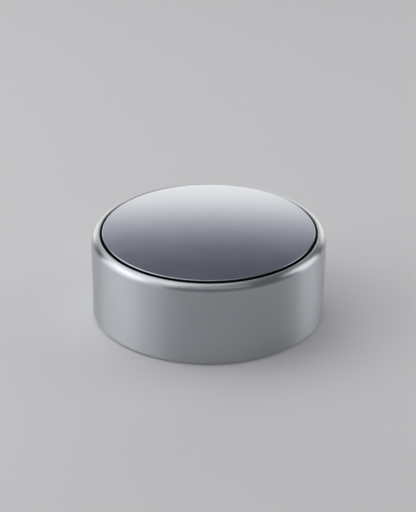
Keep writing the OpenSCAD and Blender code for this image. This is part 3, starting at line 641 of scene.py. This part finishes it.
chip_low, chip_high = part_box("radio_chip")
pad_l = 0.3 * MM
pad_w = 0.28 * MM
pad_t = 0.2 * MM
pad_out = 0.02 * MM
pads_each_side = 7
pad_pitch_share = 0.12
pad_pitch = (chip_high.x - chip_low.x) * pad_pitch_share
epoxy_finish = grained(
    "chip_black_epoxy", (0.022, 0.022, 0.024), roughness=0.5, grain=0.05, depth=0.006, mottle=0.12)
tin_finish = grained(
    "tinned_copper", (0.78, 0.78, 0.77), roughness=0.3, grain=0.08, depth=0.006, metal=1.0,
    mottle=0.08)
chip_mesh = cad_copy("radio_chip")
chip_middle = (chip_low + chip_high) / 2
for i in range(pads_each_side):
    shift = (i - (pads_each_side - 1) / 2) * pad_pitch
    for quarter in range(4):
        turn = Matrix.Rotation(quarter * math.pi / 2, 3, "Z")
        reach = (chip_high.x - chip_low.x) / 2 + pad_out
        a = turn @ Vector((reach - pad_l, shift - pad_w / 2, 0))
        b = turn @ Vector((reach, shift + pad_w / 2, 0))
        low = (chip_middle.x + min(a.x, b.x), chip_middle.y + min(a.y, b.y), chip_low.z)
        high = (chip_middle.x + max(a.x, b.x), chip_middle.y + max(a.y, b.y), chip_low.z + pad_t)
        block(chip_mesh, low, high, ease=0.02 * MM, finish=1, steps=1)
finish_piece(
    chip_mesh, "radio_package", "case", "radio_chip", [epoxy_finish, tin_finish],
    ease=0.03, steps=1)


# Crystal: a ceramic tub with a seam-welded metal lid, beside the radio chip. Both are soldered
# flat on the board.
crystal_low, crystal_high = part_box("crystal")
lid_in_share = 0.06
lid_in = (crystal_high.x - crystal_low.x) * lid_in_share
lid_sunk = 0.1 * MM
crystal_ease = 0.08 * MM
tub_share = 0.7
tub_top = crystal_low.z + (crystal_high.z - crystal_low.z) * tub_share
ceramic_finish = grained(
    "alumina_ceramic", (0.55, 0.5, 0.42), roughness=0.55, grain=0.07, depth=0.004)
lid_finish = grained(
    "plated_lid_metal", (0.75, 0.74, 0.7), roughness=0.24, grain=0.1, depth=0.003, metal=1.0,
    worn=(0.85, 0.85, 0.84), edge=0.06)
crystal_mesh = bmesh.new()
block(
    crystal_mesh, crystal_low, (crystal_high.x, crystal_high.y, tub_top), crystal_ease, 0)
block(
    crystal_mesh, (crystal_low.x + lid_in, crystal_low.y + lid_in, tub_top - lid_sunk),
    (crystal_high.x - lid_in, crystal_high.y - lid_in, crystal_high.z), crystal_ease, 1)
finish_piece(
    crystal_mesh, "clock_crystal", "case", "crystal", [ceramic_finish, lid_finish])


# Small parts with wrapped ends: capacitors, resistors and antenna, each a ceramic or glazed body
# between two tinned end caps, soldered to the board. The antenna stands across a radius.
def separate_boxes(node):
    """The lowest and highest corner of each separate part in a CAD node of several parts."""
    mesh = bmesh.new()
    mesh.from_mesh(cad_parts[node].data)
    bmesh.ops.remove_doubles(mesh, verts=mesh.verts, dist=1e-6)
    left, found = set(mesh.verts), []
    while left:
        reached, part = [left.pop()], []
        while reached:
            corner = reached.pop()
            part.append(corner.co.copy())
            for line in corner.link_edges:
                other = line.other_vert(corner)
                if other in left:
                    left.remove(other)
                    reached.append(other)
        found.append((
            Vector([min(at[i] for at in part) for i in range(3)]),
            Vector([max(at[i] for at in part) for i in range(3)]),
        ))
    mesh.free()
    return sorted(found, key=lambda pair: (round(pair[0].x, 5), round(pair[0].y, 5)))


def capped_part(mesh, low, high, cap_share):
    """A body with a wrapped cap at each end of its longer side."""
    ease_share = 0.12
    waist_share = 0.03
    sunk_share = 0.05
    size = high - low
    long_way = 0 if size.x > size.y else 1
    across = 1 - long_way
    cap = size[long_way] * cap_share
    ease = min(size) * ease_share
    body_low, body_high = low.copy(), high.copy()
    body_low[long_way] += cap / 2
    body_high[long_way] -= cap / 2
    for way, side in ((across, body_low), (across, body_high)):
        side[way] += size[across] * (waist_share if side is body_low else -waist_share)
    body_high.z -= size.z * sunk_share
    block(mesh, body_low, body_high, ease, 0)
    near, far = high.copy(), low.copy()
    near[long_way] = low[long_way] + cap
    far[long_way] = high[long_way] - cap
    block(mesh, low, near, ease, 1)
    block(mesh, far, high, ease, 1)


capacitor_finish = grained(
    "capacitor_tan_ceramic", (0.3, 0.19, 0.1), roughness=0.42, grain=0.06, depth=0.004)
resistor_finish = grained(
    "resistor_black_glaze", (0.014, 0.014, 0.017), roughness=0.25, grain=0.1, depth=0.002)
antenna_finish = grained(
    "antenna_white_ceramic", (0.72, 0.7, 0.64), roughness=0.5, grain=0.06, depth=0.004)
for node, name, finish, slot, cap_share in (
    ("capacitors", "board_capacitors", capacitor_finish, "capacitor_ceramic", 0.24),
    ("resistors", "board_resistors", resistor_finish, "resistor_ceramic", 0.22),
):
    mesh = bmesh.new()
    for low, high in separate_boxes(node):
        capped_part(mesh, low, high, cap_share)
    finish_piece(mesh, name, "case", node, [finish, tin_finish])

antenna_turn = math.radians(238)
antenna_w = 2 * MM
antenna_l = 7 * MM
board_r = max(board_high.x, -board_low.x)
antenna_low, antenna_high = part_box("chip_antenna")
antenna_inset_share = 1.4
antenna_mid = board_r - antenna_w * antenna_inset_share
antenna_mesh = bmesh.new()
capped_part(
    antenna_mesh, Vector((antenna_mid - antenna_w / 2, -antenna_l / 2, antenna_low.z)),
    Vector((antenna_mid + antenna_w / 2, antenna_l / 2, antenna_high.z)), 0.09)
bmesh.ops.rotate(
    antenna_mesh, cent=(0, 0, 0), matrix=Matrix.Rotation(antenna_turn, 3, "Z"),
    verts=antenna_mesh.verts)
finish_piece(
    antenna_mesh, "board_antenna", "case", "chip_antenna", [antenna_finish, tin_finish])


# Status light: a small white package with a clear resin window on top. Its light leaves through
# the gap round the key.
led_low, led_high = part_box("status_led")
led_size = led_high - led_low
resin_finish = grained(
    "light_clear_resin", (0.85, 0.83, 0.7), roughness=0.2, grain=0.3, depth=0.002)
resin_shader = resin_finish.node_tree.nodes["Principled BSDF"]
resin_shader.inputs["Transmission Weight"].default_value = 0.35
window_in_share = 0.185
window_in = led_size.y * window_in_share
window_sunk_share = 0.4
window_from = led_low.z + led_size.z * window_sunk_share
window_ease = 0.1 * MM
led_base_finish = grained(
    "light_white_package", (0.7, 0.7, 0.68), roughness=0.5, grain=0.08, depth=0.004)
led_mesh = bmesh.new()
capped_part(
    led_mesh, led_low, Vector((led_high.x, led_high.y, led_low.z + led_size.z / 2)), 0.2)
block(
    led_mesh, (led_low.x, led_low.y + window_in, window_from),
    (led_high.x, led_high.y - window_in, led_high.z), window_ease, finish=2, steps=4)
finish_piece(
    led_mesh, "status_light", "case", "status_led", [led_base_finish, tin_finish, resin_finish])


# Tact switch: a moulded black body, a pressed steel cover plate folded down on two sides, and
# four tinned gull-wing terminals.
switch_body_finish = grained(
    "switch_black_plastic", (0.02, 0.02, 0.021), roughness=0.4, grain=0.1, depth=0.006,
    worn=(0.07, 0.07, 0.07), edge=0.08)
plate_finish = grained(
    "switch_cover_steel", (0.66, 0.67, 0.69), roughness=0.26, grain=0.18, depth=0.004, metal=1.0,
    worn=(0.85, 0.85, 0.86), edge=0.06)
finish_piece(
    cad_copy("switch_base"), "switch_body", "case", "switch_base", switch_body_finish,
    ease=0.06)
finish_piece(
    cad_copy("switch_cover"), "switch_plate", "case", "switch_cover", plate_finish,
    ease=0.05)
finish_piece(
    cad_copy("switch_terminals"), "switch_legs", "case", "switch_terminals", tin_finish,
    ease=0.03)


# Snap dome: a thin sprung disc of stainless steel, pressed to a shallow dome. It gives way under
# the stem and makes the click.
dome_low, dome_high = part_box("switch_dome")
dome_r = dome_high.x
dome_sheet = 0.08 * MM
dome_rise = dome_high.z - dome_low.z
dome_rings = 14
dome_steps = 72


def dome_height(r):
    """The dome's height above its rim at a radius, and never less than its sheet."""
    return max(dome_rise * (1 - (r / dome_r) ** 2), dome_sheet)


dome_top = [
    (dome_r * (1 - i / dome_rings), dome_low.z + dome_height(dome_r * (1 - i / dome_rings)))
    for i in range(dome_rings + 1)
]
dome_under = [(r, max(z - dome_sheet, dome_low.z)) for r, z in reversed(dome_top)]
dome_finish = grained(
    "dome_sprung_steel", (0.7, 0.66, 0.58), roughness=0.2, grain=0.15, depth=0.002, metal=1.0,
    mottle=0.04)
dome_mesh = turned(dome_under[:-1] + [(dome_r, dome_low.z)] + dome_top, steps=dome_steps)
dome = finish_piece(
    dome_mesh, "snap_dome", "case", "switch_dome", dome_finish)
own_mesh(dome)


# Coin cell: a drawn steel can crimped over a plastic gasket and a drawn cap, with the filling
# inside. The CAD's own solids have the right shape and keep their places.
cell_finish = grained(
    "cell_nickel_steel", (0.66, 0.66, 0.67), roughness=0.27, grain=0.3, depth=0.006, metal=1.0,
    mottle=0.07, worn=(0.8, 0.8, 0.8), edge=0.12)
cell_cap_finish = grained(
    "cell_cap_nickel_steel", (0.7, 0.7, 0.71), roughness=0.33, grain=0.09, depth=0.008, metal=1.0,
    mottle=0.09)
gasket_finish = grained(
    "gasket_grey_plastic", (0.05, 0.053, 0.06), roughness=0.45, grain=0.12, depth=0.004)
filling_finish = grained(
    "cell_pressed_powder", (0.06, 0.055, 0.05), roughness=0.85, grain=0.05, depth=0.02,
    mottle=0.35)


def refinish(node, finish):
    """Gives a CAD node that stays a better finish."""
    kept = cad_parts[node].data
    kept.materials.clear()
    kept.materials.append(finish)


refinish("cell_can", cell_finish)
refinish("cell_cap", cell_cap_finish)
refinish("cell_gasket", gasket_finish)
refinish("cell_pellet", filling_finish)


# Return springs: three coils of round spring wire with closed end turns, one in each tower.
# They shorten when the key goes down.
spring_low, spring_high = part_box("return_springs")
tower_r = 17.4 * MM
tower_angles = (30, 150, 270)
coil_r = 1.05 * MM
wire_d = 0.3 * MM
wire_sides = 10
coil_turns = 5
closed_climb = wire_d + 0.08 * MM
open_climb = (spring_high.z - spring_low.z - wire_d - 2 * closed_climb) / (coil_turns - 2)
coil_steps = 28
wire_finish = grained(
    "spring_steel_wire", (0.6, 0.6, 0.62), roughness=0.25, grain=0.05, depth=0.003, metal=1.0,
    mottle=0.06)
spring_mesh = bmesh.new()
for angle in tower_angles:
    a = math.radians(angle)
    middle = Vector((tower_r * math.cos(a), tower_r * math.sin(a), 0))
    start = middle + Vector((coil_r * math.cos(a), coil_r * math.sin(a), spring_low.z + wire_d / 2))
    wire = bmesh.ops.create_circle(
        spring_mesh, cap_ends=False, segments=wire_sides, radius=wire_d / 2,
        matrix=Matrix.Translation(start) @ Matrix.Rotation(a, 4, "Z")
        @ Matrix.Rotation(math.pi / 2, 4, "X"),
    )["verts"]
    drawn = wire + list({line for corner in wire for line in corner.link_edges})
    for turns, climb in ((1, closed_climb), (coil_turns - 2, open_climb), (1, closed_climb)):
        drawn = bmesh.ops.spin(
            spring_mesh, geom=drawn, cent=middle, axis=(0, 0, 1),
            dvec=(0, 0, climb / coil_steps), angle=math.tau * turns, steps=coil_steps * turns,
            use_merge=False, use_normal_flip=False, use_duplicate=False,
        )["geom_last"]
bmesh.ops.holes_fill(
    spring_mesh, edges=[line for line in spring_mesh.edges if line.is_boundary], sides=0)
bmesh.ops.recalc_face_normals(spring_mesh, faces=spring_mesh.faces)
springs = finish_piece(
    spring_mesh, "return_coils", "case", "return_springs", wire_finish, sharp=50)
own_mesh(springs)


# Switch stem: a pale moulded plunger with a flange that holds it under the cover plate and a pip
# that meets the dome.
stem_finish = grained(
    "stem_ivory_plastic", (0.72, 0.68, 0.58), roughness=0.38, grain=0.1, depth=0.004,
    worn=(0.82, 0.8, 0.74), edge=0.06)
finish_piece(
    cad_copy("switch_stem"), "switch_plunger", "switch_stem", "switch_stem", stem_finish,
    ease=0.05, sharp=28)


# Key carrier: the moulded plate under the key's disc, in black plastic, with ribs, a nub over the
# switch and three legs whose hooks hold the key in the chassis.
carrier_finish = grained(
    "carrier_black_plastic", (0.02, 0.02, 0.022), roughness=0.42, grain=0.14, depth=0.012,
    worn=(0.07, 0.07, 0.075))
finish_piece(
    cad_copy("key_carrier"), "key_carrier_frame", "key", "key_carrier", carrier_finish,
    ease=0.08)


# Adhesive: a die-cut ring of grey foam tape that bonds the disc to its carrier.
# The CAD's solid has its shape and stays.
tape_finish = grained(
    "adhesive_grey_tape", (0.25, 0.26, 0.28), roughness=0.6, grain=0.2, depth=0.02, mottle=0.15)
refinish("key_adhesive", tape_finish)


# Key: one aluminium disc, turned with a very shallow crown, blasted to a finer satin than the
# casing, and anodised the same cool grey. Its skirt hides the carrier. Its side and the lower part
# of its edge rounding are painted almost black. This is painted shade for the gap round the key,
# and it also dims the edge's highlight.
key_low, key_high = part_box("key_cap")
key_r = key_high.x
key_edge = 0.15 * MM
crown = 0.45 * MM
skirt_w = 1.0 * MM
cap_t = 0.9 * MM
face_rings = 40
ring_crowding = 1.5
key_tone = (0.60, 0.62, 0.69)
# Painted shade: the near-black colour of the key's side, and the heights over which it fades out up
# the edge rounding.
key_side_painted_shade = (0.05, 0.055, 0.075, 1)
edge_z = key_high.z - crown
painted_shade_up_to = edge_z - key_edge
painted_shade_ends_at = edge_z - 0.1 * key_edge


def face_height(r):
    """The height of the key's crowned face at a radius."""
    return edge_z + crown * (1 - (r / (key_r - key_edge)) ** 2)


key_line = [
    (0, edge_z - cap_t), (key_r - skirt_w, edge_z - cap_t), (key_r - skirt_w, key_low.z),
    (key_r, key_low.z), (key_r, edge_z),
]
for i in range(1, face_rings + 1):
    face_r = (key_r - key_edge) * (1 - (i / face_rings) ** ring_crowding)
    key_line.append((face_r, face_height(face_r)))
key_mesh = turned(key_line, steps=turned_steps)
soften(key_mesh, key_r, edge_z, key_edge, segments=6)
key_finish = grained(
    "key_blasted_aluminium", key_tone, roughness=0.18, grain=0.06, depth=0.00015, metal=1.0,
    mottle=0.01, spread=0.012)
# Painted shade: below the edge, the key's colour is mixed by height towards the near-black side
# colour. It stands in for the shade in the gap round the key and dims the edge's highlight.
nodes, links = key_finish.node_tree.nodes, key_finish.node_tree.links
shader = nodes["Principled BSDF"]
place = nodes.new("ShaderNodeTexCoord")
split = nodes.new("ShaderNodeSeparateXYZ")
climb = nodes.new("ShaderNodeMapRange")
climb.inputs["From Min"].default_value = painted_shade_up_to
climb.inputs["From Max"].default_value = painted_shade_ends_at
shade_painted_side = nodes.new("ShaderNodeMix")
shade_painted_side.data_type = "RGBA"
shade_painted_side.inputs[6].default_value = key_side_painted_shade
links.new(place.outputs["Object"], split.inputs[0])
links.new(split.outputs["Z"], climb.inputs["Value"])
links.new(climb.outputs["Result"], shade_painted_side.inputs[0])
links.new(shader.inputs["Base Color"].links[0].from_socket, shade_painted_side.inputs[7])
links.new(shade_painted_side.outputs[2], shader.inputs["Base Color"])
finish_piece(key_mesh, "key_disc", "key", "key_cap", key_finish, sharp=40)


# Battery cover: a shallow moulded cup that turns by a coin and locks with three lugs. It is in
# the base's black plastic, with a raised bar that points to the base's locked or open mark.
cover_finish = grained(
    "cover_black_plastic", (0.02, 0.021, 0.023), roughness=0.48, grain=0.12, depth=0.02,
    worn=(0.1, 0.1, 0.105))
finish_piece(
    cad_copy("battery_cover"), "coin_cover", "battery_door", "battery_cover", cover_finish,
    ease=0.1)


# Cover seal: a round ring of red-brown rubber in the groove of the cover's flange. It is stretched
# over the flange by hand and keeps dust and splashes away from the cell.
seal_low, seal_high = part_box("cover_seal")
seal_d = seal_high.z - seal_low.z
seal_sides = 20
seal_steps = 144
seal_mesh = bmesh.new()
section = bmesh.ops.create_circle(
    seal_mesh, cap_ends=False, segments=seal_sides, radius=seal_d / 2,
    matrix=Matrix.Translation((seal_high.x - seal_d / 2, 0, (seal_low.z + seal_high.z) / 2))
    @ Matrix.Rotation(math.pi / 2, 4, "X"),
)["verts"]
bmesh.ops.spin(
    seal_mesh, geom=section + list({line for corner in section for line in corner.link_edges}),
    cent=(0, 0, 0), axis=(0, 0, 1), dvec=(0, 0, 0), angle=math.tau, steps=seal_steps,
    use_merge=True, use_normal_flip=False, use_duplicate=False,
)
bmesh.ops.remove_doubles(seal_mesh, verts=seal_mesh.verts, dist=1e-7)
bmesh.ops.recalc_face_normals(seal_mesh, faces=seal_mesh.faces)
seal_finish = grained(
    "seal_red_rubber", (0.16, 0.035, 0.025), roughness=0.5, grain=0.1, depth=0.006, mottle=0.12)
finish_piece(
    seal_mesh, "cover_seal_ring", "battery_door", "cover_seal", seal_finish)
